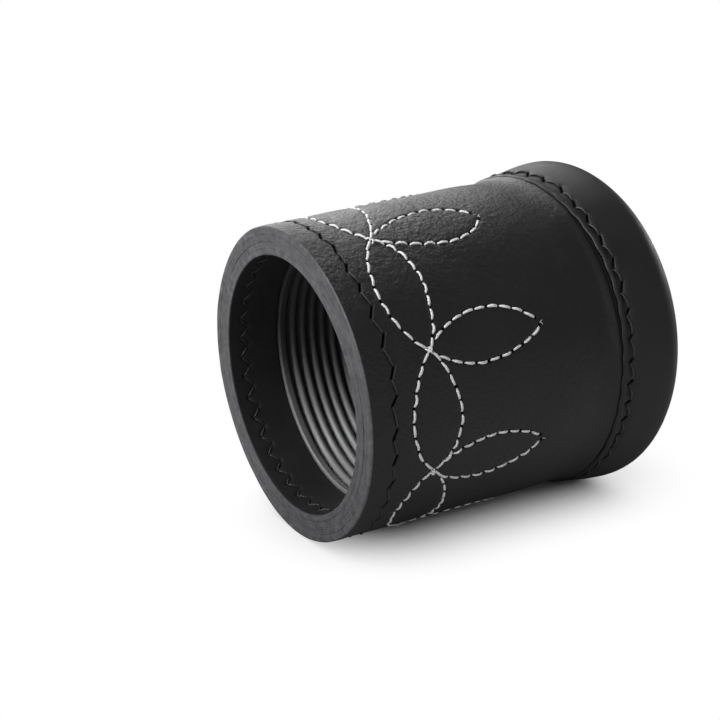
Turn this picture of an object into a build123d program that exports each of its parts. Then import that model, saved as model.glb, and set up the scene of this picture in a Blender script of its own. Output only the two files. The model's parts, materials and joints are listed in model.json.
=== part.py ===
from build123d import *
import math
import os
from bisect import bisect_left

os.makedirs("parts", exist_ok=True)

# Leather dice cup, standing upright: its axis is Z, the base underside lies at z = 0 and the
# open mouth faces +Z at z = H. Angles are degrees from +X, counterclockwise seen from above.

# ---------------------------------------------------------------- dimensions, mm
# Body
H = 105.0            # base underside to rim face
R_MOUTH = 45.0       # outside radius at the rim
TAPER = 0.02898      # radius gained per mm going down the body
T_WRAP = 2.2         # outer leather
T_PLY_OUT = 2.0      # outer leatherboard ply
T_PLY_IN = 1.8       # inner leatherboard ply
T_COLLAR = 2.0       # smooth leather band inside the mouth
T_SHELL = T_WRAP + T_PLY_OUT + T_PLY_IN
WALL = T_SHELL + T_COLLAR
WRAP_ROUND = 0.6     # fillet on the outer rim edge
COLLAR_ROUND = 0.5   # fillet on the inner rim edge
SEAM_ANGLE = 183.0   # butt seam of the outer wrap, degrees
SEAM_GAP = 0.25

# Heights
Z_CAP_IN = 2.2       # inside face of the base cap
Z_BOARD = 8.0        # top of the base board, where the wall layers stand
Z_PAD = 10.2         # top of the floor pad
Z_COLLAR = 88.0      # collar meets the ribbed liner

# Ribbed liner
RIBS = 22
RIB_BACK = 1.2       # liner thickness behind the grooves
RIB_PROUD = 1.0      # rib crests stand this far inside the collar
FLANK_IN = 0.9       # straight flank of a rib, inward
FLANK_Z = 0.3        # and along the axis

# Base board and cap
R_BOARD_FLAT = 36.5  # flat underside of the board, inside its rounded edge
R_CAP_MAX = 49.95    # widest circle of the base cap
Z_CAP_MAX = 8.3
EDGE_R = 12.0        # base edge rounding, radial
R_LIP = 48.08        # cap lip, outside
Z_LIP_LOW = 22.3     # cap lip, start of its outside
Z_LIP = 23.95        # cap lip, top edge
LIP_PARE = 0.36      # how far the lip's top edge is pared in
CHANNEL_START = (48.64, 19.2)  # radius, z where the side turns into the stitch channel

# Seams
Z_CAP_SEAM = 20.8    # stitch row that joins cap and body
CAP_STITCHES = 45
CAP_PHASE = 4.4      # angle of the first needle hole, degrees
R_CAP_SEAT = 48.12   # inner side of the outside cap stitches
CAP_LOCK_DEPTH = 2.4  # where the cap threads lock, in from the body's outside
CHANNEL_W = 2.2      # channel inside the inner ply, full section width and height
CHANNEL_H = 1.6
MOUTH_STITCHES = 37
MOUTH_PHASE = 3.0    # angle of the first needle hole, degrees
Z_MOUTH_LO = 97.8    # row of needle holes through the wall
Z_MOUTH_HI = 100.4   # upper points of the inside zigzag
ZIG_END_TURN = 0.74  # where the zigzag's falling leg ends, share of the pitch
ZIG_END_RISE = 0.52  # and share of the zigzag height
D_HOLE = 1.3         # needle hole
DRILL_LEN = 30.0
D_SEAM = 1.0         # waxed seam thread
STITCH_GAP = 0.25    # clear space between seam stitches
LOCK_HALF_GAP = 0.1  # each leg stops this far from the lock
SEAM_LIFT = 0.05     # gap between a seam stitch and the surface under it
ZIG_LIFT = 0.06

# White decoration
D_WHITE = 0.7        # thread diameter
WHITE_LIFT = 0.04    # gap between thread and leather
LEAVES = 8           # chain of leaf outlines round the body
LEAF_STEP = 360.0 / LEAVES
LEAF_PHASE = 8.3     # angle of the first junction, degrees
Z_CHAIN = 85.1       # height of the junctions
LEAF_UP = 8.1        # rise of a leaf outline above the junctions
LEAF_DOWN = 6.4      # drop of a leaf outline below them
LEAF_TRIM = 0.02     # share of the outline left bare at each end
PETAL_LEN = 35.2     # petal outline, junction down to tip
PETAL_HALF = 8.9     # petal half width, degrees
PETAL_START = 0.1    # share of the petal left bare at the junction
PETAL_SPAN = 0.89    # share of the petal that is stitched
LEAF_STITCHES = 10   # stitches along one side of a leaf
PETAL_STITCHES = 9   # stitches along one side of a petal
STITCH_FILL = 0.76   # visible share of each stitch pitch
CURVE_STEPS = 600    # samples along an outline


# ---------------------------------------------------------------- helpers
def save(part, name):
    part.label = name
    export_step(part, f"parts/{name}.step")


def r_out(z):
    """Outside radius of the tapered body at height z."""
    return R_MOUTH + (H - z) * TAPER


def polar(r, deg, z):
    return (r * math.cos(math.radians(deg)), r * math.sin(math.radians(deg)), z)


def needle_holes(z, count, phase):
    """Locations of a row of radial holes, local +Z pointing straight out."""
    angles = [phase + 360.0 * i / count for i in range(count)]
    return [
        Plane(origin=polar(r_out(z), a, z), x_dir=(0, 0, 1), z_dir=polar(1, a, 0)).location
        for a in angles
    ]


def drill(holes):
    """Cut needle holes from the part being built."""
    with Locations(*holes):
        Cylinder(D_HOLE / 2, DRILL_LEN, mode=Mode.SUBTRACT)


def bar_location(start, end):
    """Location whose local +Z runs from start to end, centred between them."""
    mid = [(a + b) / 2 for a, b in zip(start, end)]
    along = Vector(*[b - a for a, b in zip(start, end)])
    across = along.cross(Vector(mid[0], mid[1], 0))
    # A radial bar has no cross product, so it takes the vertical instead.
    x_dir = across if across.length > 1e-6 else (0, 0, 1)
    return Plane(origin=mid, x_dir=x_dir, z_dir=along).location


def rod(start, end):
    """Straight length of seam thread, added to the part being built."""
    with Locations(bar_location(start, end)):
        Cylinder(D_SEAM / 2, math.dist(start, end))


def quarter_edge(x, z, rx, rz):
    """Rounded lower edge of a profile: quarter ellipse from straight down to straight out."""
    EllipticalCenterArc((x, z), rx, rz, start_angle=-90, arc_size=90)


def board_edge():
    """Rounded edge shared by the base board and the inside of the cap."""
    quarter_edge(R_BOARD_FLAT, Z_BOARD, r_out(Z_BOARD) - R_BOARD_FLAT, Z_BOARD - Z_CAP_IN)


mouth_holes = needle_holes(Z_MOUTH_LO, MOUTH_STITCHES, MOUTH_PHASE)
cap_holes = needle_holes(Z_CAP_SEAM, CAP_STITCHES, CAP_PHASE)
all_holes = mouth_holes + cap_holes


# ---------------------------------------------------------------- rolled wall layers
def rolled_layer(outer, inner, seam_angle, cut_r, cut_len, holes,
                 z_low=Z_BOARD, rim_edge=None, rim_round=0, channel=False):
    """Tapered tube up to the rim, set in from the body's outside by outer..inner.

    The butt seam is a slot cut_len long, centred at radius cut_r. rim_edge picks the rim
    circle to round: 0 is the inner one, -1 the outer one.
    """
    with BuildPart() as layer:
        with BuildSketch(Plane.XZ):
            with BuildLine():
                Polyline(
                    (r_out(z_low) - inner, z_low),
                    (r_out(z_low) - outer, z_low),
                    (r_out(H) - outer, H),
                    (r_out(H) - inner, H),
                    close=True,
                )
            make_face()
        revolve(axis=Axis.Z)
        if rim_edge is not None:
            rim = layer.edges().filter_by(GeomType.CIRCLE).group_by(Axis.Z)[-1]
            fillet(rim.sort_by(SortBy.RADIUS)[rim_edge], rim_round)
        if channel:
            with BuildSketch(Plane.XZ):
                with Locations((r_out(Z_CAP_SEAM) - inner, Z_CAP_SEAM)):
                    Rectangle(CHANNEL_W, CHANNEL_H)
            revolve(axis=Axis.Z, mode=Mode.SUBTRACT)
        seam = Plane(origin=(0, 0, 0), x_dir=polar(1, seam_angle, 0), z_dir=(0, 0, 1))
        with BuildSketch(seam):
            with Locations((cut_r, 0)):
                Rectangle(cut_len, SEAM_GAP)
        extrude(amount=H + 1, mode=Mode.SUBTRACT)
        drill(holes)
    return layer.part


# Black leather sheet rolled round the core, butted on the -X side.
save(rolled_layer(
    0, T_WRAP, SEAM_ANGLE, cut_r=R_MOUTH, cut_len=12, holes=all_holes,
    rim_edge=-1, rim_round=WRAP_ROUND,
), "outer_leather_wrap")

# Stiff leatherboard tube inside the wrap; its butt seam is turned away from the wrap's.
save(rolled_layer(
    T_WRAP, T_WRAP + T_PLY_OUT, SEAM_ANGLE + 66, cut_r=R_MOUTH - 2, cut_len=10,
    holes=all_holes,
), "core_outer_ply")

# Second leatherboard tube, with a shallow inside channel for the cap seam's inside thread.
save(rolled_layer(
    T_WRAP + T_PLY_OUT, T_SHELL, SEAM_ANGLE - 69, cut_r=R_MOUTH - 4, cut_len=10,
    holes=all_holes, channel=True,
), "core_inner_ply")

# Smooth leather band lining the mouth, above the ribbed liner.
save(rolled_layer(
    T_SHELL, WALL, SEAM_ANGLE - 117, cut_r=38.5, cut_len=8, holes=mouth_holes,
    z_low=Z_COLLAR, rim_edge=0, rim_round=COLLAR_ROUND,
), "mouth_collar")


# ---------------------------------------------------------------- ribbed liner
def ribbed_liner():
    """Moulded rubber sleeve: rounded ribs run round the inside and trip the dice."""
    pitch = (Z_COLLAR - Z_PAD) / RIBS
    back_low = (r_out(Z_PAD) - T_SHELL, Z_PAD)
    back_top = (r_out(Z_COLLAR) - T_SHELL, Z_COLLAR)
    with BuildPart() as liner:
        with BuildSketch(Plane.XZ):
            with BuildLine():
                Line(back_low, back_top)
                last = (r_out(Z_COLLAR) - T_SHELL - RIB_BACK, Z_COLLAR)
                Line(back_top, last)
                for i in range(RIBS):
                    top = Z_COLLAR - i * pitch
                    low = top - pitch
                    mid = (top + low) / 2
                    groove = (r_out(low) - T_SHELL - RIB_BACK, low)
                    crest = (r_out(mid) - WALL - RIB_PROUD, mid)
                    arc_top = (last[0] - FLANK_IN, last[1] - FLANK_Z)
                    arc_low = (groove[0] - FLANK_IN, groove[1] + FLANK_Z)
                    Line(last, arc_top)
                    ThreePointArc(arc_top, crest, arc_low)
                    Line(arc_low, groove)
                    last = groove
                Line(last, back_low)
            make_face()
        revolve(axis=Axis.Z)
    return liner.part


save(ribbed_liner(), "ribbed_liner")


# ---------------------------------------------------------------- floor and base
def floor_pad():
    """Disc that lies on the base board, inside the inner ply."""
    with BuildPart() as pad:
        with BuildSketch(Plane.XZ):
            with BuildLine():
                Polyline(
                    (0, Z_BOARD),
                    (r_out(Z_BOARD) - T_SHELL, Z_BOARD),
                    (r_out(Z_PAD) - T_SHELL, Z_PAD),
                    (0, Z_PAD),
                    close=True,
                )
            make_face()
        revolve(axis=Axis.Z)
    return pad.part


def base_board():
    """Stiff disc with a rounded lower edge; it shapes the cap and closes the tube."""
    with BuildPart() as board:
        with BuildSketch(Plane.XZ):
            with BuildLine():
                Polyline(
                    (R_BOARD_FLAT, Z_CAP_IN), (0, Z_CAP_IN), (0, Z_BOARD), (r_out(Z_BOARD), Z_BOARD)
                )
                board_edge()
            make_face()
        revolve(axis=Axis.Z)
    return board.part


def base_cap():
    """Wet-moulded leather cap: rounded base edge, bulged side, stitch channel, raised lip."""
    r_edge = R_CAP_MAX - EDGE_R
    lip_low = (R_LIP, Z_LIP_LOW)
    lip_top = (R_LIP - LIP_PARE, Z_LIP)
    with BuildPart() as cap:
        with BuildSketch(Plane.XZ):
            with BuildLine():
                # Outside, from the axis up to the lip; points are (radius, z).
                Line((0, 0), (r_edge, 0))
                quarter_edge(r_edge, Z_CAP_MAX, EDGE_R, Z_CAP_MAX)
                Spline(
                    (R_CAP_MAX, Z_CAP_MAX), (49.72, 12.5), (49.24, 16.0), CHANNEL_START,
                    tangents=((0, 1), (-0.25, 1)),
                )
                Spline(
                    CHANNEL_START, (48.06, Z_CAP_SEAM), lip_low,
                    tangents=((-0.35, 1), (0.05, 1)),
                )
                Spline(
                    lip_low, (R_LIP - 0.08, 23.5), lip_top,
                    tangents=((0.05, 1), (-1, 0)),
                )
                # Inside, down the body and round the board.
                Line(lip_top, (r_out(Z_LIP), Z_LIP))
                Line((r_out(Z_LIP), Z_LIP), (r_out(Z_BOARD), Z_BOARD))
                board_edge()
                Line((R_BOARD_FLAT, Z_CAP_IN), (0, Z_CAP_IN))
                Line((0, Z_CAP_IN), (0, 0))
            make_face()
        revolve(axis=Axis.Z)
        drill(cap_holes)
    return cap.part


save(floor_pad(), "floor_pad")
save(base_board(), "base_board")
save(base_cap(), "base_cap")


# ---------------------------------------------------------------- seam threads
# Lockstitch: each outside stitch lies on the leather and its leg goes in through a needle
# hole; the inside stitch's leg comes to meet it, and the two end at the lock in the wall.
def arc_stitch(r_arc, z, count, phase, r_leg):
    """A stitch along the circumference with a radial leg at its first end."""
    gap = math.degrees((D_SEAM + STITCH_GAP) / r_arc)
    with BuildPart() as stitch:
        with BuildSketch(Plane.XZ):
            with Locations((r_arc, z)):
                Circle(D_SEAM / 2)
        revolve(axis=Axis.Z, revolution_arc=360.0 / count - gap)
        rod((r_arc, 0, z), (r_leg, 0, z))
        with Locations((r_arc, 0, z)):
            Sphere(D_SEAM / 2)
    return stitch.part.rotate(Axis.Z, phase)


def zigzag_stitch(r_leg):
    """Inside mouth stitch: up from its needle hole, then down towards the next."""
    pitch = 360.0 / MOUTH_STITCHES
    depth = WALL + D_SEAM / 2 + ZIG_LIFT
    r_low = r_out(Z_MOUTH_LO) - depth
    z_end = Z_MOUTH_LO + (Z_MOUTH_HI - Z_MOUTH_LO) * ZIG_END_RISE
    hole = polar(r_low, MOUTH_PHASE, Z_MOUTH_LO)
    peak = polar(r_out(Z_MOUTH_HI) - depth, MOUTH_PHASE + pitch / 2, Z_MOUTH_HI)
    end = polar(r_low, MOUTH_PHASE + pitch * ZIG_END_TURN, z_end)
    with BuildPart() as stitch:
        rod(hole, peak)
        rod(peak, end)
        rod(hole, polar(r_leg, MOUTH_PHASE, Z_MOUTH_LO))
        with Locations(hole, peak):
            Sphere(D_SEAM / 2)
    return stitch.part


def stitch_ring(stitch, count):
    with BuildPart() as ring:
        with PolarLocations(0, count):
            add(stitch)
    return ring.part


mouth_lock = r_out(Z_MOUTH_LO) - WALL / 2
mouth_outer = arc_stitch(
    r_out(Z_MOUTH_LO) + D_SEAM / 2 + SEAM_LIFT, Z_MOUTH_LO,
    MOUTH_STITCHES, MOUTH_PHASE, r_leg=mouth_lock + LOCK_HALF_GAP,
)
mouth_inner = zigzag_stitch(r_leg=mouth_lock - LOCK_HALF_GAP)
save(stitch_ring(mouth_outer, MOUTH_STITCHES), "mouth_seam_outer_thread")
save(stitch_ring(mouth_inner, MOUTH_STITCHES), "mouth_seam_inner_thread")

cap_lock = r_out(Z_CAP_SEAM) - CAP_LOCK_DEPTH
cap_outer = arc_stitch(
    R_CAP_SEAT + D_SEAM / 2, Z_CAP_SEAM,
    CAP_STITCHES, CAP_PHASE, r_leg=cap_lock + LOCK_HALF_GAP,
)
cap_inner = arc_stitch(
    r_out(Z_CAP_SEAM) - T_SHELL + D_SEAM / 2 + SEAM_LIFT, Z_CAP_SEAM,
    CAP_STITCHES, CAP_PHASE, r_leg=cap_lock - LOCK_HALF_GAP,
)
save(stitch_ring(cap_outer, CAP_STITCHES), "cap_seam_outer_thread")
save(stitch_ring(cap_inner, CAP_STITCHES), "cap_seam_inner_thread")


# ---------------------------------------------------------------- white decorative threads
# A chain of leaf outlines runs round the body, and a petal hangs from each junction.
# Each outline is a curve(t) -> (degrees, z) for t from 0 to 1.
def bulge(t):
    """Bulge of a leaf side, 0 at both ends and 1 in the middle."""
    return (4 * t * (1 - t)) ** 0.8 if 0 < t < 1 else 0.0


def leaf_curve(k, rise):
    def curve(t):
        along = LEAF_TRIM + (1 - 2 * LEAF_TRIM) * t
        return LEAF_PHASE + (k + along) * LEAF_STEP, Z_CHAIN + rise * bulge(along)
    return curve


def petal_curve(k, side):
    def curve(t):
        along = PETAL_START + PETAL_SPAN * t
        deg = LEAF_PHASE + k * LEAF_STEP + side * PETAL_HALF * bulge(along)
        return deg, Z_CHAIN - PETAL_LEN * along
    return curve


def stitches(curve, count):
    """Locations and length of straight stitches at equal pitch, lying on the leather."""
    points = [curve(i / CURVE_STEPS) for i in range(CURVE_STEPS + 1)]
    surface = [polar(r_out(z), deg, z) for deg, z in points]
    travel = [0.0]
    for a, b in zip(surface, surface[1:]):
        travel.append(travel[-1] + math.dist(a, b))
    pitch = travel[-1] / count
    length = pitch * STITCH_FILL

    def thread_point(distance):
        """Centre of the thread at a distance along the curve."""
        j = bisect_left(travel, distance)
        share = (distance - travel[j - 1]) / (travel[j] - travel[j - 1])
        deg, z = [a + share * (b - a) for a, b in zip(points[j - 1], points[j])]
        return polar(r_out(z) + D_WHITE / 2 + WHITE_LIFT, deg, z)

    middles = [pitch * (i + 0.5) for i in range(count)]
    locations = [
        bar_location(thread_point(m - length / 2), thread_point(m + length / 2))
        for m in middles
    ]
    return locations, length


def white_thread(curves, count):
    with BuildPart() as thread:
        for curve in curves:
            locations, length = stitches(curve, count)
            with Locations(*locations):
                Cylinder(D_WHITE / 2, length)
    return thread.part


leaf_sides = [leaf_curve(k, rise) for rise in (LEAF_UP, -LEAF_DOWN) for k in range(LEAVES)]
save(white_thread(leaf_sides, LEAF_STITCHES), "leaf_chain_thread")

petal_sides = [petal_curve(k, side) for side in (1, -1) for k in range(LEAVES)]
save(white_thread(petal_sides, PETAL_STITCHES), "petal_thread")
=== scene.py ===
"""Stitched leather cup with a ribbed lining.

The cup stands on z = 0 with its axis on +Z and its mouth up, tapering towards the mouth.
Lengths are in mm unless noted, and meshes are scaled to metres as they are made. Places on the
cup are (deg, z): the angle round the axis from +X, and the height. The main camera is rolled,
so that the cup lies on its -Y side on a tilted floor; turned views show it upright.
"""
import bpy
import json
import math
import numpy as np
from mathutils import Matrix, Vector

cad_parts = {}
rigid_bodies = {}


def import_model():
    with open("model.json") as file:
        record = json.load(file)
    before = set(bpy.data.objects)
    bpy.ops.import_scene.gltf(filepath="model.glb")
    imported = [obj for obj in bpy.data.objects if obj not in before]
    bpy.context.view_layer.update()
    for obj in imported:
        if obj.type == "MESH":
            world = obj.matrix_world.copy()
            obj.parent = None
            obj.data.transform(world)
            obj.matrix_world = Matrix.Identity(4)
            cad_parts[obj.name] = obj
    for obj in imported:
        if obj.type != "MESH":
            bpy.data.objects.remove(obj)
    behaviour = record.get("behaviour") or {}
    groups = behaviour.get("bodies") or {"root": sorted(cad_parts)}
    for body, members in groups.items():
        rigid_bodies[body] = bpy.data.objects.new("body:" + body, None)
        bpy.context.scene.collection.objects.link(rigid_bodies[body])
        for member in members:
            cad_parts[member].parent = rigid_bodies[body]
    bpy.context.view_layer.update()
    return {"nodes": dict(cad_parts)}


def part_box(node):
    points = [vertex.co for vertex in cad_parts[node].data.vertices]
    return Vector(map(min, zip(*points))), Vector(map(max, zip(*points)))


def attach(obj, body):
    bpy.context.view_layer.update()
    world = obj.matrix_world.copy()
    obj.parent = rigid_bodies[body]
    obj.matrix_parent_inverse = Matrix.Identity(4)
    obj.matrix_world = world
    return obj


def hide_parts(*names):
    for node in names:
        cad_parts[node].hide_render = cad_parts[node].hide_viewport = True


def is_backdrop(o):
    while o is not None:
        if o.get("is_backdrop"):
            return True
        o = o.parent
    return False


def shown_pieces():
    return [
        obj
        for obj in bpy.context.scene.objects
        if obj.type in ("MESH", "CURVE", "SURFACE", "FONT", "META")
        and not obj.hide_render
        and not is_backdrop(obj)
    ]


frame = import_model()

# ------------------------------------------------------------------ driving dimensions
MM = 0.001
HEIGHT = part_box("outer_leather_wrap")[1][2] / MM     # rim height
Z_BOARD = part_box("outer_leather_wrap")[0][2] / MM    # underside of the wall
Z_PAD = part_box("ribbed_liner")[0][2] / MM            # top of the floor pad
Z_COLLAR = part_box("mouth_collar")[0][2] / MM         # collar above, ribbed liner below
R_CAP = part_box("base_cap")[1][0] / MM
R_MOUTH = 45.0                                       # outside radius at the rim
TAPER = 0.02898                                      # radius gained per mm downwards
T_WRAP, T_PLY_OUT, T_PLY_IN, T_COLLAR = 2.2, 2.0, 1.8, 2.0
T_PLIES = T_WRAP + T_PLY_OUT + T_PLY_IN              # outside face to the back of the liner
T_WALL = T_PLIES + T_COLLAR

LEAVES = 8                # leaf shapes in the chain, with one petal under each junction
LEAF_PHASE = 8.3          # deg
Z_CHAIN = 84.9
RIM_COUNT = 37            # stitches in the rim seam
CAP_COUNT, CAP_PHASE = 45, 4.4
RIM_PITCH = 360.0 / RIM_COUNT

# height bands that each kind of stitching may press
FLOWER_BAND, RIM_BAND, COLLAR_BAND, CAP_BAND = (46, 96.5), (94, 102), (95, 103.5), (17, 23.6)

CUT = 3                   # cells near stitches are cut CUT by CUT


def r_out(z):
    """Radius of the wall's outside face."""
    return R_MOUTH + (HEIGHT - z) * TAPER


def r_in(z):
    """Radius of the collar's inside face."""
    return r_out(z) - T_WALL


def wave(seed, deg, z=0, terms=9, kmax=7, zscale=30.0):
    """Smooth repeatable noise, about -1..1, periodic round the axis."""
    rng = np.random.default_rng(seed)
    cycles = rng.integers(1, kmax + 1, terms)
    phases = rng.uniform(0, 2 * np.pi, terms)
    slants = rng.uniform(-1, 1, terms) * 2 * np.pi
    heights = rng.normal(0, 1, terms) / math.sqrt(terms)
    angle = np.radians(deg)
    out = 0.0
    for cycle, phase, slant, height in zip(cycles, phases, slants, heights):
        out = out + height * np.cos(cycle * angle + phase + slant * z / zscale)
    return out


def rim_sag(deg, z):
    """Height change of the uneven rim, fading out 3 mm below it."""
    top = np.clip((z - (HEIGHT - 3)) / 3, 0, 1) ** 2
    return (0.10 * wave(3, deg, kmax=5) - 0.12) * top


# ------------------------------------------------------------------ mesh helpers
def add_object(name, data):
    ob = bpy.data.objects.new(name, data)
    bpy.context.scene.collection.objects.link(ob)
    return ob


def new_mesh(name, verts, faces, materials, face_materials=None):
    """Smooth-shaded object from vertices in mm."""
    mesh = bpy.data.meshes.new(name)
    mesh.from_pydata((np.asarray(verts) * MM).tolist(), [], faces)
    for material in materials:
        mesh.materials.append(material)
    if face_materials is not None:
        indices = np.asarray(face_materials, dtype=np.int32)
        mesh.polygons.foreach_set("material_index", indices)
    mesh.polygons.foreach_set("use_smooth", np.ones(len(mesh.polygons), dtype=bool))
    mesh.validate()
    mesh.update()
    return add_object(name, mesh)


def hand_over(ob, cad_piece):
    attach(ob, "root")
    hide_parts(cad_piece)


def profile_normals(profile):
    """Outward normals of a closed (r, z) loop that runs with the solid on its left."""
    tangent = np.roll(profile, -1, 0) - np.roll(profile, 1, 0)
    tangent /= np.maximum(np.linalg.norm(tangent, axis=1, keepdims=True), 1e-9)
    return np.stack([tangent[:, 1], -tangent[:, 0]], 1)


def set_painted_shade(ob, painted_shade):
    """Stores the painted shade of each vertex, strongest deep in needle holes and slits and along
    creases, for the leather's colour.
    """
    attribute = ob.data.attributes.new("painted_shade", "FLOAT", "POINT")
    values = np.zeros(len(ob.data.vertices), dtype=np.float32)
    values[: len(painted_shade)] = painted_shade
    attribute.data.foreach_set("value", values)


def grid_points(fine, rows, closed):
    """Points of a grid whose fine cells are cut up.

    Returns each point's row and column (fractional between corners), and the number of the
    first point on each corner, edge along the profile, edge round the axis and cell (-1: none)."""
    columns = fine.shape[1]
    along = fine | np.roll(fine, 1, 1)
    if closed:
        around = fine | np.roll(fine, 1, 0)
    else:
        none = np.zeros((1, columns), dtype=bool)
        around = np.vstack([fine, none]) | np.vstack([none, fine])
    steps = np.arange(1, CUT) / CUT
    row_steps, col_steps = (g.reshape(-1) for g in np.meshgrid(steps, steps, indexing="ij"))
    groups = (
        (np.ones((rows, columns), dtype=bool), [0], [0]),
        (along, steps, 0 * steps),
        (around, 0 * steps, steps),
        (fine, row_steps, col_steps),
    )
    point_rows, point_cols, firsts, count = [], [], [], 0
    for flags, row_offsets, col_offsets in groups:
        spots = np.argwhere(flags)
        first = np.full(flags.shape, -1)
        first[flags] = count + np.arange(len(spots)) * len(row_offsets)
        point_rows.append((spots[:, :1] + row_offsets).reshape(-1))
        point_cols.append((spots[:, 1:] + col_offsets).reshape(-1))
        firsts.append(first)
        count += len(spots) * len(row_offsets)
    return np.concatenate(point_rows), np.concatenate(point_cols), firsts


def grid_faces(fine, firsts):
    """Faces of a cut grid, and the cell row that each belongs to."""
    corner, along, around, inside = firsts
    rows, columns = corner.shape
    cell_rows = len(fine)
    row, col = np.meshgrid(np.arange(cell_rows), np.arange(columns), indexing="ij")
    row2, col2 = (row + 1) % rows, (col + 1) % columns
    square = np.stack(
        [corner[row, col], corner[row, col2], corner[row2, col2], corner[row2, col]], -1)
    cut_along, cut_around = along >= 0, around >= 0
    touched = (cut_along | np.roll(cut_along, -1, 1)
               | cut_around[:cell_rows] | np.roll(cut_around, -1, 0)[:cell_rows])
    plain = ~fine & ~touched
    faces = square[plain].tolist()
    face_rows = row[plain].tolist()

    # uncut cells next to cut ones take in the extra points on their edges
    for i, j in np.argwhere(~fine & touched):
        i2, j2 = (i + 1) % rows, (j + 1) % columns
        loop = []
        for start, first, direction in (
            (corner[i, j], around[i, j], 1),
            (corner[i, j2], along[i, j2], 1),
            (corner[i2, j2], around[i2, j], -1),
            (corner[i2, j], along[i, j], -1),
        ):
            loop.append(start)
            if first >= 0:
                loop += list(range(first, first + CUT - 1))[::direction]
        faces.append([int(x) for x in loop])
        face_rows.append(int(i))

    # cut cells
    i, j = np.nonzero(fine)
    i2, j2 = (i + 1) % rows, (j + 1) % columns
    steps = np.arange(CUT - 1)
    grid = np.zeros((len(i), CUT + 1, CUT + 1), dtype=int)
    grid[:, 0, 0], grid[:, 0, CUT] = corner[i, j], corner[i, j2]
    grid[:, CUT, 0], grid[:, CUT, CUT] = corner[i2, j], corner[i2, j2]
    grid[:, 0, 1:CUT] = around[i, j][:, None] + steps
    grid[:, CUT, 1:CUT] = around[i2, j][:, None] + steps
    grid[:, 1:CUT, 0] = along[i, j][:, None] + steps
    grid[:, 1:CUT, CUT] = along[i, j2][:, None] + steps
    within = steps[:, None] * (CUT - 1) + steps
    grid[:, 1:CUT, 1:CUT] = inside[i, j][:, None, None] + within
    quads = np.stack(
        [grid[:, :-1, :-1], grid[:, :-1, 1:], grid[:, 1:, 1:], grid[:, 1:, :-1]], -1)
    faces += quads.reshape(-1, 4).tolist()
    face_rows += np.repeat(i, CUT * CUT).tolist()
    return faces, face_rows


def lathe(name, profile, columns, materials, displace=None, material_at=None,
          painted_shade=None, near=None, closed=True):
    """Solid of revolution from an (r, z) profile.

    closed: the profile is a loop (a ring). Otherwise it starts and ends on the axis.
    displace(deg, z, r) gives mm along the normal and mm upwards.
    material_at(r, z) gives a material index, the next argument (deg, z, r) the painted shade stored
    on each vertex, and near(deg, z, r) picks the cells to cut up."""
    profile = np.asarray(profile, float)
    core, normals = profile, profile_normals(profile)
    if not closed:
        core, normals = core[1:-1], normals[1:-1]
    rows = len(core)
    cell_rows = rows if closed else rows - 1
    cell = np.arange(cell_rows)
    middle = (core[cell] + core[(cell + 1) % rows]) / 2
    fine = np.zeros((cell_rows, columns), dtype=bool)
    if near is not None:
        cell_deg = np.repeat(((np.arange(columns) + 0.5) * 360.0 / columns)[None, :], cell_rows, 0)
        fine = near(cell_deg, np.repeat(middle[:, 1:], columns, 1),
                    np.repeat(middle[:, :1], columns, 1))

    point_rows, point_cols, firsts = grid_points(fine, rows, closed)
    row = np.floor(point_rows).astype(int)
    part = (point_rows - row)[:, None]
    row2 = (row + 1) % rows
    place = core[row] * (1 - part) + core[row2] * part
    normal = normals[row] * (1 - part) + normals[row2] * part
    normal /= np.maximum(np.linalg.norm(normal, axis=1, keepdims=True), 1e-9)
    deg, r, z = point_cols * 360.0 / columns, place[:, 0], place[:, 1]
    marks = None if painted_shade is None else painted_shade(deg, z, r)
    if displace:
        out, lift = displace(deg, z, r)
        r, z = r + out * normal[:, 0], z + out * normal[:, 1] + lift
    angle = np.radians(deg)
    verts = np.stack([r * np.cos(angle), r * np.sin(angle), z], -1)

    faces, face_rows = grid_faces(fine, firsts)
    if not closed:
        start, end, last = len(verts), len(verts) + 1, (rows - 1) * columns
        verts = np.vstack([verts, [[0, 0, profile[0][1]], [0, 0, profile[-1][1]]]])
        faces += [[start, (c + 1) % columns, c] for c in range(columns)]
        faces += [[end, last + c, last + (c + 1) % columns] for c in range(columns)]
        face_rows += [0] * columns + [cell_rows - 1] * columns
    face_materials = None
    if material_at is not None:
        face_materials = np.array([material_at(*c) for c in middle])[np.array(face_rows)]
    ob = new_mesh(name, verts, faces, materials, face_materials)
    if marks is not None:
        set_painted_shade(ob, marks)
    return ob


# ------------------------------------------------------------------ stitch layout, (deg, z)
# Hand-guided stitching is uneven: some junctions, leaves and petals have their own shape,
# by index, and the rest are drawn at random.
# junction: deg, z
OWN_JOINTS = {0: (7.41, 84.43), 1: (53.09, 85.96), 2: (99.48, 82.9), 6: (279.9, 82.9),
              7: (324.46, 84.81)}
# leaf: rise of the upper and lower arc (mm), skew of the upper and lower arc
OWN_LEAVES = {0: (8.44, -5.59, -0.15, 0.31), 1: (8.26, -6.78, 0.26, 0.38),
              6: (8.59, -6.97, 0.08, -0.04), 7: (7.61, -7.10, -0.05, -0.25)}
# petal: lean (deg), length (mm), half width to +deg and -deg (deg), skew to +deg and -deg
OWN_PETALS = {0: (0.54, 35.21, 9.66, 8.18, -0.02, -0.05), 1: (-0.55, 35.01, 10.25, 8.51, 0.31, 0.28),
              7: (1.98, 35.42, 7.74, 9.13, -0.02, -0.03)}

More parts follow.
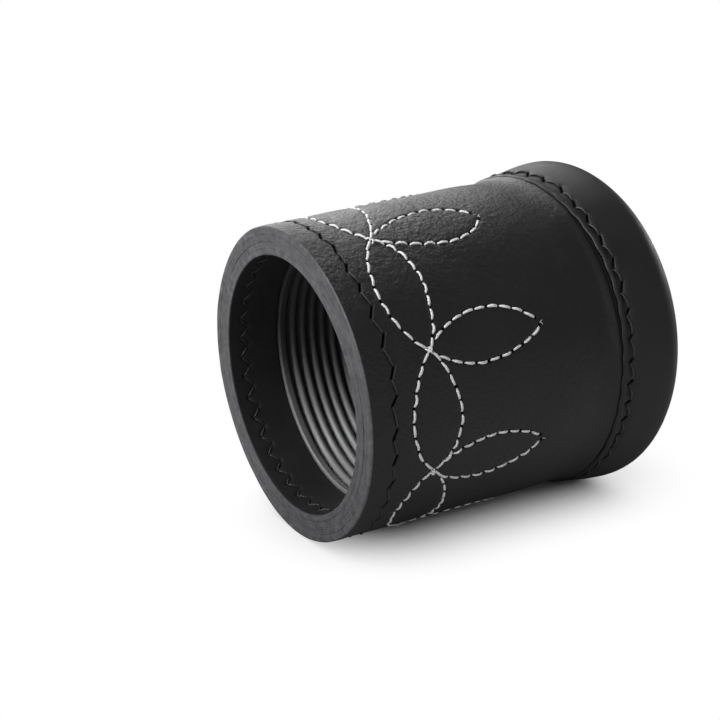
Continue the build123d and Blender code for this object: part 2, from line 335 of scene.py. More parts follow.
# slits of the rim seam: deg and z of the start, deg and z of the end
OWN_RIM_SLITS = [
    (70.9, 97.45, 68.0, 98.10), (62.9, 97.25, 59.5, 98.0), (54.6, 96.65, 50.2, 97.55),
    (44.3, 97.2, 40.8, 98.25), (35.2, 96.9, 32.0, 97.9), (26.1, 96.6, 22.2, 98.2),
    (16.2, 96.2, 11.9, 97.8), (4.9, 96.05, 1.2, 97.3), (-4.4, 96.4, -7.6, 98.1),
    (-15.6, 97.1, -19.1, 98.4), (-25.4, 97.1, -28.8, 98.1), (-35.6, 97.2, -38.9, 98.4),
    (-45.8, 97.2, -49.2, 98.3),
]
RIM_OWN_FIRST, RIM_OWN_LAST = 69.5, -47.5     # deg of the middle of the first and last of them

# middles of the cap seam's slits, deg
OWN_CAP_MIDS = [75.2, 66.3, 56.6, 47.9, 40.0, 30.5, 21.5, 12.9, 4.5, -4.1, -12.0, -19.9,
                -27.4, -34.3, -41.6, -48.6]


def lens(t, skew):
    """Bulge of an arc, 0 at both ends; skew leans it to one end."""
    t = np.clip(t, 0, 1)
    return (4 * t * (1 - t)) ** 0.8 * (1 + skew * (2 * t - 1))


def equal_stitches(curve, count, start, stop):
    """Curve split in equal lengths: list of (start, end) points."""
    deg, z = curve(np.linspace(start, stop, 801))
    x = np.radians(deg) * r_out(z)
    length = np.concatenate([[0], np.cumsum(np.hypot(np.diff(x), np.diff(z)))])
    cuts = np.linspace(0, length[-1], count + 1)
    cut_deg, cut_z = np.interp(cuts, length, deg), np.interp(cuts, length, z)
    return list(zip(zip(cut_deg[:-1], cut_z[:-1]), zip(cut_deg[1:], cut_z[1:])))


def flower_layout():
    """Stitches of the leaf chain and of the petals under it, the junctions and petal tips."""
    joints = []
    for k in range(LEAVES):
        rng = np.random.default_rng(100 + k)
        drawn = (LEAF_PHASE + 360 / LEAVES * k + rng.normal(0, 0.5), Z_CHAIN + rng.normal(0, 0.5))
        joints.append(OWN_JOINTS.get(k, drawn))
    leaves, petals, tips = [], [], []
    for k in range(LEAVES):
        rng = np.random.default_rng(200 + k)
        (deg0, z0), (deg1, z1) = joints[k], joints[(k + 1) % LEAVES]
        deg1 = deg1 + (360 if deg1 < deg0 else 0)
        # both draws are made for every leaf, so that the sequence doesn't depend on the tables
        drawn_leaf = (8.1 + rng.normal(0, 0.3), -6.4 + rng.normal(0, 0.4),
                      rng.normal(0, 0.1), rng.normal(0, 0.15))
        drawn_petal = (rng.normal(0, 0.8), 35.2 + rng.normal(0, 0.3), 8.9 + rng.normal(0, 0.5),
                       8.9 + rng.normal(0, 0.5), rng.normal(0, 0.05), rng.normal(0, 0.05))
        up, down, up_skew, down_skew = OWN_LEAVES.get(k, drawn_leaf)
        for rise, skew, count in ((up, up_skew, 9), (down, down_skew, 10)):
            def arc(t):
                return deg0 + t * (deg1 - deg0), z0 + t * (z1 - z0) + rise * lens(t, skew)
            leaves += equal_stitches(arc, count, 0.006, 0.994)
        lean, length, half_a, half_b, skew_a, skew_b = OWN_PETALS.get(k, drawn_petal)
        for side, half, skew, stop in ((1, half_a, skew_a, 0.965), (-1, half_b, skew_b, 0.985)):
            def edge(t):
                return deg0 + lean * t + side * half * lens(t, skew), z0 - length * t
            petals += equal_stitches(edge, 9, 0.06, stop)
        tips.append((deg0 + lean, z0 - length))
    return leaves, petals, joints, tips


def rim_layout():
    """Slits through the leather along the rim seam."""
    slits = [((deg0, z0), (deg1, z1)) for deg0, z0, deg1, z1 in OWN_RIM_SLITS]
    rest = RIM_COUNT - len(slits)
    for k in range(1, rest + 1):
        rng = np.random.default_rng(300 + k)
        span = 360 - RIM_OWN_FIRST + RIM_OWN_LAST
        deg = RIM_OWN_LAST - k * span / (rest + 1) + rng.normal(0, 0.35)
        half = 1.75 + rng.normal(0, 0.2)
        low, high = 97.0 + rng.normal(0, 0.25), 98.15 + rng.normal(0, 0.2)
        slits.append(((deg + half, low), (deg - half, high)))
    return slits


def collar_layout():
    """Zigzag stitches on the inside of the collar."""
    stitches = []
    for k in range(RIM_COUNT):
        rng = np.random.default_rng(500 + k)
        deg = 2.8 + k * RIM_PITCH + rng.normal(0, 0.3)
        stitches.append(((deg, 100.9), (deg - 0.45 * RIM_PITCH, 98.5)))
        stitches.append(((deg - 0.55 * RIM_PITCH, 98.2), (deg - 0.95 * RIM_PITCH, 100.7)))
    return stitches


def cap_layout():
    """Slits along the cap seam."""
    own = len(OWN_CAP_MIDS)
    span = 360 - OWN_CAP_MIDS[0] + OWN_CAP_MIDS[-1]
    rest = CAP_COUNT - own
    mids = OWN_CAP_MIDS + [OWN_CAP_MIDS[-1] - k * span / (rest + 1) for k in range(1, rest + 1)]
    slits = []
    for k, deg in enumerate(mids):
        rng = np.random.default_rng(400 + k)
        deg = deg + (rng.normal(0, 0.3) if k >= own else 0)
        # slits are wide and sloping from about 12 deg up, short and flat below 2 deg
        wide = min(1.0, max(0.0, (deg - 2.0) / 10.0)) if deg > -120 else 0.5
        half = 0.60 + 0.95 * wide + rng.normal(0, 0.15)
        drop = 0.6 if 52 < deg < 100 else 0.0
        slits.append(((deg + half, 20.55 - drop - 0.70 * wide + rng.normal(0, 0.12)),
                      (deg - half, 21.35 - drop - 0.20 * wide + rng.normal(0, 0.10))))
    return slits


def between(slits):
    """Stitches that join the end of each slit to the start of the next."""
    stitches = []
    for (_, start), (end, _) in zip(slits, slits[1:] + slits[:1]):
        if end[0] > start[0]:
            end = (end[0] - 360, end[1])
        stitches.append((start, end))
    return stitches


leaf_stitches, petal_stitches, joints, tips = flower_layout()
flower_stitches = leaf_stitches + petal_stitches
rim_slits = rim_layout()
rim_stitches = between(rim_slits)
collar_stitches = collar_layout()
cap_slits = cap_layout()
cap_stitches = between(cap_slits)


def stamp(deg, z, r, segments, depth, width, band, hole=0.0, hole_width=0.4):
    """Depth of a valley along each segment, with a needle hole at both ends.

    band: lowest and highest z that are pressed."""
    shape = deg.shape
    deg, z, r = deg.reshape(-1), z.reshape(-1), r.reshape(-1)
    out = np.zeros(len(deg))
    order = np.argsort(z, kind="stable")
    sorted_z = z[order]
    reach = 2.6 * max(width, hole_width)
    for (deg0, z0), (deg1, z1) in segments:
        low = np.searchsorted(sorted_z, max(min(z0, z1) - reach, band[0]))
        high = np.searchsorted(sorted_z, min(max(z0, z1) + reach, band[1]), side="right")
        idx = order[low:high]
        mid = (deg0 + deg1) / 2
        turn = (deg[idx] - mid + 180) % 360 - 180
        ok = np.abs(turn) < abs(deg1 - deg0) / 2 + math.degrees(reach / 44.0)
        idx, turn = idx[ok], turn[ok]
        radius = r[idx]
        x, height = np.radians(turn) * radius, z[idx]
        x0, x1 = math.radians(deg0 - mid) * radius, math.radians(deg1 - mid) * radius
        dx, dz = x1 - x0, z1 - z0
        t = np.clip(((x - x0) * dx + (height - z0) * dz) / (dx * dx + dz * dz + 1e-9), 0, 1)
        away = np.hypot(x - x0 - t * dx, height - z0 - t * dz)
        value = depth * np.exp(-(away / width) ** 2)
        if hole:
            for end_x, end_z in ((x0, z0), (x1, z1)):
                away = np.hypot(x - end_x, height - end_z)
                value = np.maximum(value, hole * np.exp(-(away / hole_width) ** 2))
        out[idx] = np.maximum(out[idx], value)
    return out.reshape(shape)


# ------------------------------------------------------------------ twisted thread stitches
def thread(name, items, material, sides, flat, blunt):
    """Makes each (path points Nx3, radius) one closed tube of three-ply thread.

    flat: thickness off the leather over width. blunt: how full the ends are, 0 is fullest."""
    verts, faces, base = [], [], 0
    for points, radius in items:
        count = len(points)
        tangent = np.gradient(points, axis=0)
        tangent /= np.linalg.norm(tangent, axis=1, keepdims=True)
        outward = points.copy()
        outward[:, 2] = 0
        outward /= np.maximum(np.linalg.norm(outward, axis=1, keepdims=True), 1e-9)
        side = np.cross(tangent, outward)
        side /= np.maximum(np.linalg.norm(side, axis=1, keepdims=True), 1e-9)
        normal = np.cross(side, tangent)
        steps = np.linalg.norm(np.diff(points, axis=0), axis=1)
        length = np.concatenate([[0], np.cumsum(steps)])
        phi = np.arange(sides) * 2 * np.pi / sides
        for i in range(count):
            fullness = math.sin(math.pi * (i + 0.35) / (count - 0.3)) ** blunt
            twist = 0.86 + 0.14 * np.cos(3 * (phi - length[i] * 2.0))
            width = radius * fullness * twist
            ring = np.cos(phi)[:, None] * side[i] + flat * np.sin(phi)[:, None] * normal[i]
            verts.append(points[i] + width[:, None] * ring)
        for i in range(count - 1):
            low, high = base + i * sides, base + (i + 1) * sides
            for j in range(sides):
                j2 = (j + 1) % sides
                faces.append([low + j, low + j2, high + j2, high + j])
        faces.append([base + j for j in range(sides)][::-1])
        faces.append([base + (count - 1) * sides + j for j in range(sides)])
        base += count * sides
    return new_mesh(name, np.vstack(verts), faces, [material])


def stitch_path(start, end, radius_at, rise, dive, gap, bow, points=13, inside=False):
    """A stitch that comes out at one (deg, z) hole, lies on the leather and dives into another.

    gap: share of the way left free at each end. bow: sideways bend in mm."""
    u = np.linspace(0, 1, points)
    way = gap + (1 - 2 * gap) * u
    run = np.radians(end[0] - start[0]) * R_MOUTH
    climb = end[1] - start[1]
    length = math.hypot(run, climb) + 1e-9
    bend = bow * np.sin(math.pi * u)
    deg = start[0] + (end[0] - start[0]) * way + np.degrees(bend * (-climb / length) / R_MOUTH)
    z = start[1] + climb * way + bend * (run / length)
    height = -dive + (dive + rise) * np.sin(np.pi * u).clip(0) ** 0.42
    r = radius_at(z) + (-height if inside else height)
    angle = np.radians(deg)
    return np.stack([r * np.cos(angle), r * np.sin(angle), z], 1)


# ------------------------------------------------------------------ shader helpers
def feed(node, inputs):
    """Sets inputs, by name or index, to a value or links them to the socket given."""
    for key, value in inputs.items():
        if isinstance(value, bpy.types.NodeSocket):
            node.id_data.links.new(value, node.inputs[key])
        else:
            node.inputs[key].default_value = value


def add_node(tree, kind, inputs=None, output=0, **settings):
    """Adds a node with its inputs fed, and returns one of its outputs."""
    node = tree.nodes.new(kind)
    for key, value in settings.items():
        setattr(node, key, value)
    feed(node, inputs or {})
    return node.outputs[output]


def calc(tree, operation, *inputs):
    return add_node(tree, "ShaderNodeMath", dict(enumerate(inputs)), operation=operation)


def vector_calc(tree, operation, inputs, output=0):
    return add_node(tree, "ShaderNodeVectorMath", inputs, output, operation=operation)


def noise(tree, place, scale, detail, roughness=0.5, output=0):
    return add_node(tree, "ShaderNodeTexNoise", {
        "Vector": place, "Scale": scale, "Detail": detail, "Roughness": roughness}, output)


def map_range(tree, value, source, target, **settings):
    """Maps the source (from, to) to the target (from, to)."""
    return add_node(tree, "ShaderNodeMapRange", {
        "Value": value, "From Min": source[0], "From Max": source[1],
        "To Min": target[0], "To Max": target[1]}, **settings)


def two_tone(tree, value, stops, dark, light):
    """Colour ramp from dark to light between two stops."""
    colour = add_node(tree, "ShaderNodeValToRGB", {"Fac": value})
    elements = colour.node.color_ramp.elements
    for element, position, tone in zip(elements, stops, (dark, light)):
        element.position = position
        element.color = (*tone, 1)
    return colour


def bump(tree, height, strength, distance):
    """distance is in metres."""
    return add_node(tree, "ShaderNodeBump", {
        "Height": height, "Strength": strength, "Distance": distance})


def new_material(name):
    """Returns a material, its node tree, its shader and its object coordinates."""
    material = bpy.data.materials.new(name)
    material.use_nodes = True
    tree = material.node_tree
    place = add_node(tree, "ShaderNodeTexCoord", output="Object")
    return material, tree, tree.nodes["Principled BSDF"], place


def finish_shader(tree, shader, colour, normal, patches, smoothest, roughest):
    """Feeds the shader; roughness varies with the patches."""
    roughness = map_range(tree, patches, (0.3, 0.7), (smoothest, roughest))
    feed(shader, {"Base Color": colour, "Normal": normal, "Roughness": roughness})


# ------------------------------------------------------------------ materials
def leather(name, dark, light, roughness, grain, strength, depth, specular, low_strength=None):
    """Pebbled leather, with painted shade in needle holes, slits and creases, read from a vertex
    attribute.

    grain: scale of the pebbles. strength, depth: of their bump; low_strength: near the base."""
    material, tree, shader, place = new_material(name)
    patches = noise(tree, place, scale=38.0, detail=5.0, roughness=0.6)
    tooth = noise(tree, place, scale=grain * 1.6, detail=4.0, roughness=0.65)
    colour = two_tone(tree, patches, (0.3, 0.75), dark, light)
    # painted shade: darker colour and weaker specular in needle holes, slits and creases
    painted_shade = add_node(tree, "ShaderNodeAttribute", output="Fac", attribute_name="painted_shade")
    shade = map_range(tree, painted_shade, (0.15, 0.75), (1.0, 0.12))
    colour = vector_calc(tree, "SCALE", {0: colour, "Scale": shade})
    feed(shader, {"Specular IOR Level": calc(tree, "MULTIPLY", shade, specular)})
    # pebble grain: rounded cells of two sizes, with a fine tooth over them
    drift = noise(tree, place, scale=grain * 0.5, detail=3.0, output="Color")
    warped = vector_calc(tree, "MULTIPLY_ADD", {0: drift, 1: (0.0009, 0.0009, 0.0009), 2: place})
    pebbles = []
    for scale in (grain, grain * 0.47):
        cells = add_node(tree, "ShaderNodeTexVoronoi", {
            "Vector": warped, "Scale": scale, "Randomness": 1.0, "Smoothness": 0.75},
            feature="SMOOTH_F1")
        pebbles.append(calc(tree, "POWER", cells, 1.4))
    height = calc(tree, "MULTIPLY_ADD", calc(tree, "ADD", *pebbles), -0.9, tooth)
    normal = bump(tree, height, strength, depth)
    if low_strength is not None:
        up = add_node(tree, "ShaderNodeSeparateXYZ", {0: place}, output="Z")
        fade = map_range(tree, up, (0.030, 0.095), (low_strength, strength))
        feed(normal.node, {"Strength": fade})
    finish_shader(tree, shader, colour, normal, patches, roughness - 0.1, roughness + 0.1)
    return material


def edge_finish_and_light(name, dark, light, roughness):
    """Burnished cut edge: faint rings and streaks that follow the rim, with painted light and shade
    across the mouth.
    """
    material, tree, shader, place = new_material(name)
    x = add_node(tree, "ShaderNodeSeparateXYZ", {0: place}, output="X")
    flat = add_node(tree, "ShaderNodeCombineXYZ", {"X": x, "Y": x.node.outputs["Y"]})
    radius = vector_calc(tree, "LENGTH", {0: flat}, output="Value")
    wander = noise(tree, place, scale=45.0, detail=3.0)
    radius = calc(tree, "MULTIPLY_ADD", wander, 0.0005, radius)
    across = add_node(tree, "ShaderNodeCombineXYZ", {"X": radius})
    rings = noise(tree, across, scale=1500.0, detail=3.0, roughness=0.7)
    specks = noise(tree, place, scale=520.0, detail=5.0, roughness=0.75)
    height = calc(tree, "MULTIPLY_ADD", specks, 0.84, calc(tree, "MULTIPLY", rings, 0.20))
    colour = two_tone(tree, height, (0.40, 0.66), dark, light)
    # painted light and shade: the edge is made lighter on one side of the mouth and darker towards
    # the other, as the lamps would light it
    toward = vector_calc(tree, "DOT_PRODUCT", {0: place, 1: (0.39, -0.92, 0.0)}, output="Value")
    painted_light_shade = map_range(tree, toward, (-0.042, 0.042), (1.10, 0.74))
    colour = vector_calc(tree, "SCALE", {0: colour, "Scale": painted_light_shade})
    normal = bump(tree, height, strength=0.5, distance=0.00012)
    finish_shader(tree, shader, colour, normal, specks, roughness - 0.08, roughness + 0.12)
    return material


def rubber(name, dark, light, roughness):
    material, tree, shader, place = new_material(name)
    specks = noise(tree, place, scale=900.0, detail=4.0, roughness=0.6)
    patches = noise(tree, place, scale=60.0, detail=4.0)
    colour = two_tone(tree, patches, (0.35, 0.7), dark, light)
    normal = bump(tree, specks, strength=0.25, distance=0.00008)
    finish_shader(tree, shader, colour, normal, patches, roughness - 0.06, roughness + 0.1)
    return material


def fibre(name, dark, light, roughness):
    """Thread material."""
    material, tree, shader, place = new_material(name)
    specks = noise(tree, place, scale=2600.0, detail=3.0, roughness=0.7)
    colour = two_tone(tree, specks, (0.32, 0.68), dark, light)
    normal = bump(tree, specks, strength=0.4, distance=0.0001)
    finish_shader(tree, shader, colour, normal, specks, roughness - 0.08, roughness + 0.1)
    return material


body_leather = leather(
    "body_leather", dark=(0.007, 0.007, 0.0075), light=(0.0115, 0.0113, 0.012), roughness=0.44,
    grain=1050, strength=0.80, depth=0.0003, specular=0.42, low_strength=0.34)
cap_leather = leather(
    "cap_leather", dark=(0.007, 0.007, 0.0075), light=(0.011, 0.011, 0.0115), roughness=0.52,
    grain=1150, strength=0.16, depth=0.0002, specular=0.44)
lining_leather = leather(
    "lining_leather", dark=(0.014, 0.014, 0.015), light=(0.022, 0.022, 0.0228), roughness=0.58,
    grain=1500, strength=0.25, depth=0.0002, specular=0.35)
cut_edge = edge_finish_and_light(
    "edge_finish_and_light", dark=(0.042, 0.042, 0.045), light=(0.118, 0.118, 0.125), roughness=0.5)
leatherboard = edge_finish_and_light(
    "leatherboard", dark=(0.042, 0.042, 0.045), light=(0.112, 0.112, 0.118), roughness=0.55)
ribbed_rubber = rubber(
    "ribbed_rubber", dark=(0.026, 0.026, 0.0268), light=(0.038, 0.038, 0.0388), roughness=0.62)
white_thread = fibre(
    "white_thread", dark=(0.72, 0.72, 0.725), light=(0.95, 0.95, 0.955), roughness=0.6)
black_thread = fibre(
    "black_thread", dark=(0.016, 0.016, 0.0165), light=(0.042, 0.042, 0.043), roughness=0.42)


# ------------------------------------------------------------------ outer leather wrap
def build_wrap():
    edge = 0.55                                   # radius of the outer rim edge
    r_edge, r_inner = r_out(HEIGHT) - edge, R_MOUTH - T_WRAP
    profile = []
    # outside face, with more rows where it is shaped: z from, z to, rows
    for low, high, count in ((Z_BOARD + 0.1, 20, 5), (20, 27, 14), (27, 46, 24),
                             (46, HEIGHT - edge, 132)):
        profile += [(r_out(z), z) for z in np.linspace(low, high, count, endpoint=False)]
    profile += [(r_edge + edge * math.cos(a), HEIGHT - edge + edge * math.sin(a))
                for a in np.linspace(0, math.pi / 2, 6)]
    profile += [(r, HEIGHT) for r in np.linspace(r_edge, r_inner + 0.18, 6)[1:]]
    profile += [(r_inner + 0.05, HEIGHT - 0.06), (r_inner, HEIGHT - 0.2)]
    profile += [(r_out(z) - T_WRAP, z) for z in (HEIGHT - 3, 80, 60, 40, 20)]
    profile += [(r_out(Z_BOARD) - T_WRAP, Z_BOARD + 0.1)]

    def displace(deg, z, r):
        out = -stamp(deg, z, r, flower_stitches, depth=0.26, width=0.68, band=FLOWER_BAND,
                     hole=0.80, hole_width=0.46)
        out -= stamp(deg, z, r, rim_stitches, depth=0.15, width=0.50, band=RIM_BAND)
        out -= stamp(deg, z, r, rim_slits, depth=0.85, width=0.34, band=RIM_BAND)
        out += 0.10 * wave(1, deg, z, kmax=6, zscale=60) * (z > 26)
        out += 0.035 * wave(2, deg, z, terms=14, kmax=28, zscale=14)
        # the sheet draws in a little above the cap, then flares out to meet its lip
        out += 0.50 * np.exp(-((z - 24.4) / 1.7) ** 2) - 0.56 * np.exp(-((z - 30.5) / 6.5) ** 2)
        # slight swell between the rim seam and the rim
        out += 0.10 * np.exp(-((z - 102.3) / 1.6) ** 2)
        return np.where(r > r_out(z) - 0.9, out, 0.0), rim_sag(deg, z)

    # painted shade for the leather's colour: needle holes, slits, stitch grooves and the crease
    # above the cap's lip
    def painted_shade(deg, z, r):
        marks = (
            stamp(deg, z, r, flower_stitches, depth=0.0, width=0.75, band=FLOWER_BAND,
                  hole=1.0, hole_width=0.55),
            stamp(deg, z, r, rim_slits, depth=1.0, width=0.36, band=RIM_BAND),
            stamp(deg, z, r, rim_stitches, depth=0.30, width=0.36, band=RIM_BAND),
            0.62 * np.exp(-((z - 24.15) / 0.55) ** 2),         # shade above the cap's lip
        )
        return np.where(r > r_out(z) - 0.9, np.maximum.reduce(marks), 0.0)

    def near(deg, z, r):
        close = np.maximum(
            stamp(deg, z, r, flower_stitches, depth=1.0, width=1.0, band=(45, 97.5)),
            stamp(deg, z, r, rim_slits + rim_stitches, depth=1.0, width=1.0, band=RIM_BAND))
        return (close > 0.38) & (r > r_out(z) - 0.1)

    def material_at(r, z):
        return 1 if (z > HEIGHT - 0.38 and r > R_MOUTH - T_WRAP) else 0

    wrap = lathe("leather_body", profile, 560, [body_leather, cut_edge],
                 displace, material_at, painted_shade, near)
    hand_over(wrap, "outer_leather_wrap")


# ------------------------------------------------------------------ plies, seen at the rim
def build_ply(name, cad_piece, outer, inner, material, seed):
    """Ply between two depths below the outside face."""
    edge = 0.16                                   # radius of the rim edges
    waves = 9                                     # steps across the slightly wavy rim
    levels = (Z_BOARD + 0.1, 30, 60, 90, HEIGHT - 0.9, HEIGHT - edge - 0.05)
    r_top, r_top_in = r_out(HEIGHT) - outer, r_out(HEIGHT) - inner
    profile = [(r_out(z) - outer, z) for z in levels]
    profile += [(r_top - edge * (1 - math.cos(a)), HEIGHT - edge + edge * math.sin(a))
                for a in np.linspace(0.2, math.pi / 2, 4)]
    profile += [(r_top - edge - i / waves * (inner - outer - 2 * edge),
                 HEIGHT + 0.035 * math.cos(i / waves * 4 * math.pi) - 0.035)
                for i in range(1, waves)]
    profile += [(r_top_in + edge * (1 - math.sin(a)), HEIGHT - edge + edge * math.cos(a))
                for a in np.linspace(0, math.pi / 2 - 0.2, 4)]
    profile += [(r_out(z) - inner, z) for z in levels[::-1]]

    def displace(deg, z, r):
        top = np.clip(z - (HEIGHT - 1), 0, 1)
        return 0.0, (0.07 * wave(seed, deg, kmax=9) + 0.10 * wave(3, deg, kmax=5) - 0.14) * top

    hand_over(lathe(name, profile, 420, [material], displace), cad_piece)


# ------------------------------------------------------------------ mouth collar
def build_collar():
    edge = 0.5                                    # radius of the inner rim edge
    r_lip = R_MOUTH - T_WALL + edge
    profile = [(r_out(z) - T_PLIES, z) for z in (Z_COLLAR + 0.05, 93, 98, 102, HEIGHT - 0.2)]
    profile += [(R_MOUTH - T_PLIES - 0.06, HEIGHT - 0.04)]
    profile += [(r, HEIGHT) for r in np.linspace(R_MOUTH - T_PLIES - 0.2, r_lip, 5)]
    profile += [(r_lip - edge * math.sin(a), HEIGHT - edge + edge * math.cos(a))
                for a in np.linspace(0.25, math.pi / 2, 5)]
    profile += [(r_in(z), z) for z in np.linspace(HEIGHT - 0.9, 95.5, 30)]
    profile += [(r_in(z), z) for z in np.linspace(95, Z_COLLAR + 0.35, 12)]
    profile += [(r_in(Z_COLLAR) + 0.1, Z_COLLAR + 0.12), (r_in(Z_COLLAR) + 0.35, Z_COLLAR + 0.05)]

    def displace(deg, z, r):
        out = -stamp(deg, z, r, collar_stitches, depth=0.20, width=0.75, band=COLLAR_BAND,
                     hole=0.45, hole_width=0.45)
        out += 0.06 * wave(21, deg, z, kmax=8, zscale=20)
        inner = (r < r_in(z) + 0.3) & (z < HEIGHT - 0.6)
        return np.where(inner, out, 0.0), rim_sag(deg, z)

    def material_at(r, z):
        return 1 if (z > HEIGHT - 0.2 and r > R_MOUTH - T_WALL + 0.3) else 0

    collar = lathe("collar_band", profile, 512, [lining_leather, cut_edge], displace, material_at)
    hand_over(collar, "mouth_collar")
    return collar


# ------------------------------------------------------------------ ribbed liner
def build_liner():
    ribs, rib_height, backing = 22, 1.75, 1.25
    pitch = (Z_COLLAR - Z_PAD) / ribs
    profile = [(r_out(z) - T_PLIES - 0.02, z)
               for z in np.linspace(Z_PAD + 0.05, Z_COLLAR - 0.05, 10)]
    for i in range(ribs):
        top = Z_COLLAR - 0.05 - i * pitch
        for t in np.linspace(0, 1, 15, endpoint=False):
            z = top - t * pitch
            crest = math.sin(math.pi * t) ** 0.72
            if i == 0 and t < 0.5:
                # the top rib starts nearly full, right under the collar
                crest = min(1.0, 0.60 + t * 5)
            profile.append((r_out(z) - T_PLIES - backing - rib_height * crest, z))
    z = Z_PAD + 0.05
    profile.append((r_out(z) - T_PLIES - backing, z + 0.02))

    def displace(deg, z, r):
        out = 0.05 * wave(31, deg, z, kmax=7, zscale=18) * (r < r_out(z) - T_PLIES - 0.5)
        return out, 0.06 * wave(32, deg, kmax=4) * (z > Z_PAD + 3) * (z < Z_COLLAR - 1)

    liner = lathe("liner_ribs", profile, 256, [ribbed_rubber], displace)
    hand_over(liner, "ribbed_liner")
    return liner


# ------------------------------------------------------------------ floor pad
def build_pad():
    radius = r_out(Z_PAD) - T_PLIES - 0.05
    bottom, top = Z_BOARD + 0.02, Z_PAD - 0.03
    profile = [(0, bottom)] + [(r, bottom) for r in np.linspace(6, radius - 0.3, 7)]
    profile += [(radius, Z_BOARD + 0.4), (radius, Z_PAD - 0.5), (radius - 0.15, Z_PAD - 0.15),
                (radius - 0.5, top)]
    # shallow ring grooves, 3.4 mm apart, inside a plain margin
    for r in np.linspace(radius - 1.2, 2, 60):
        groove = 0.12 * (0.5 + 0.5 * math.cos(2 * math.pi * r / 3.4)) if r < radius - 4 else 0
        profile.append((r, top - groove))
    profile.append((0, Z_PAD - 0.05))
    pad = lathe("pad_disc", profile, 192, [ribbed_rubber], closed=False)
    hand_over(pad, "floor_pad")
    return pad


# ------------------------------------------------------------------ base cap
CAP_ROUND_HEIGHT, CAP_ROUND_WIDTH = 8.3, 12.0      # rounded bottom edge
R_SWELL = R_CAP + 0.15
# side of the cap: z, r
CAP_SIDE = [
    (8.3, R_SWELL), (11.0, 49.98), (13.0, 49.70), (15.0, 49.38), (17.0, 49.06), (19.0, 48.70),
    (20.2, 48.34), (20.8, 48.16), (21.6, 48.02), (22.4, 48.02), (23.0, 48.06), (23.5, 47.98),
    (23.85, 47.78),
]
side_z, side_r = np.array(CAP_SIDE).T
side_slope = np.gradient(side_r, side_z)
side_slope[0] = 0


def smooth_side(z):
    """Radius of the cap's side, by a cubic Hermite spline through its points."""
    i = int(np.clip(np.searchsorted(side_z, z) - 1, 0, len(side_z) - 2))
    step = side_z[i + 1] - side_z[i]
    t = (z - side_z[i]) / step
    return ((2 * t**3 - 3 * t**2 + 1) * side_r[i]
            + (t**3 - 2 * t**2 + t) * step * side_slope[i]
            + (-2 * t**3 + 3 * t**2) * side_r[i + 1]
            + (t**3 - t**2) * step * side_slope[i + 1])


def build_cap():
    r_flat = R_SWELL - CAP_ROUND_WIDTH            # flat part of the underside
    r_well, z_well = 36.5, 2.2                    # where the inside floor starts to curve up
    profile = [(0, 0.0)] + [(r, 0.0) for r in np.linspace(4, r_flat - 2, 10)]
    profile += [(r_flat + CAP_ROUND_WIDTH * math.sin(a),
                 CAP_ROUND_HEIGHT - CAP_ROUND_HEIGHT * math.cos(a))
                for a in np.linspace(0.0, math.pi / 2, 26)]
    profile += [(smooth_side(z), z) for z in np.linspace(8.8, 18.6, 22)]
    profile += [(smooth_side(z), z) for z in np.linspace(18.95, 23.85, 22)]
    # over the lip and down the inside, against the wrap
    profile += [(47.70, 23.93), (r_out(23.8) + 0.26, 23.78), (r_out(23.4) + 0.10, 23.2),
                (r_out(22.4) + 0.02, 22.2)]
    profile += [(r_out(z) + 0.01, z) for z in (20, 16, 12, 9)]
    profile += [(r_well + (r_out(Z_BOARD) - r_well) * math.cos(a),
                 Z_BOARD - (Z_BOARD - z_well) * math.sin(a))
                for a in np.linspace(0.1, math.pi / 2, 8)]
    profile += [(20, z_well), (0, z_well)]

    def displace(deg, z, r):
        out = -stamp(deg, z, r, cap_slits, depth=0.50, width=0.30, band=CAP_BAND)
        out -= stamp(deg, z, r, cap_slits, depth=0.28, width=0.95, band=CAP_BAND)
        out -= stamp(deg, z, r, cap_stitches, depth=0.12, width=0.75, band=CAP_BAND)
        out += 0.09 * wave(41, deg, z, kmax=5, zscale=25) * np.clip((z - 1) / 3, 0, 1)
        out += 0.05 * wave(42, deg, z, terms=14, kmax=22, zscale=9) * np.clip((z - 5) / 3, 0, 1)
        # bead above the seam, strongest round -5 deg
        turn = (deg + 180) % 360 - 180
        bead = np.clip((72 - np.abs(turn + 5)) / 25, 0.25, 1.0)
        out += 0.24 * np.exp(-((z - 22.8) / 0.75) ** 2) * bead
        # the lip wanders, and ripples once per stitch
        ripple = 0.16 * np.cos(np.radians((deg - CAP_PHASE) * CAP_COUNT))
        lift = np.clip((z - 19.5) / 4.0, 0, 1) * (0.45 * wave(43, deg, kmax=5) + ripple - 0.1)
        return np.where((r > r_out(z) + 0.38) & (z > 0.8), out, 0.0), lift

    # painted shade for the leather's colour in the seam's slits
    def painted_shade(deg, z, r):
        holes = stamp(deg, z, r, cap_slits, depth=1.0, width=0.42, band=CAP_BAND)
        return np.where(r > r_out(z) + 0.38, holes, 0.0)

    def near(deg, z, r):
        close = stamp(deg, z, r, cap_slits + cap_stitches, depth=1.0, width=0.9, band=CAP_BAND)
        return (close > 0.38) & (r > r_out(z) + 0.38)

    cap = lathe("cap_base", profile, 560, [cap_leather], displace, None, painted_shade, near, closed=False)
    hand_over(cap, "base_cap")


def recolour(node_name, material):
    """Gives a piece that stays as drawn its material."""
    for slot in frame["nodes"][node_name].material_slots:
        slot.link = "OBJECT"
        slot.material = material


build_wrap()
build_ply("ply_outer", "core_outer_ply", T_WRAP, T_WRAP + T_PLY_OUT, leatherboard, seed=11)
build_ply("ply_inner", "core_inner_ply", T_WRAP + T_PLY_OUT, T_PLIES, cut_edge, seed=12)
build_collar()
liner = build_liner()
pad = build_pad()
build_cap()
recolour("base_board", leatherboard)

# ------------------------------------------------------------------ threads
thread_rng = np.random.default_rng(900)      # shared by all threads, in the order they are made


def jittered(start, end, spread):
    shift = thread_rng.normal(0, spread, 4)
    return ((start[0] + math.degrees(shift[0] / R_MOUTH), start[1] + shift[1]),
            (end[0] + math.degrees(shift[2] / R_MOUTH), end[1] + shift[3]))


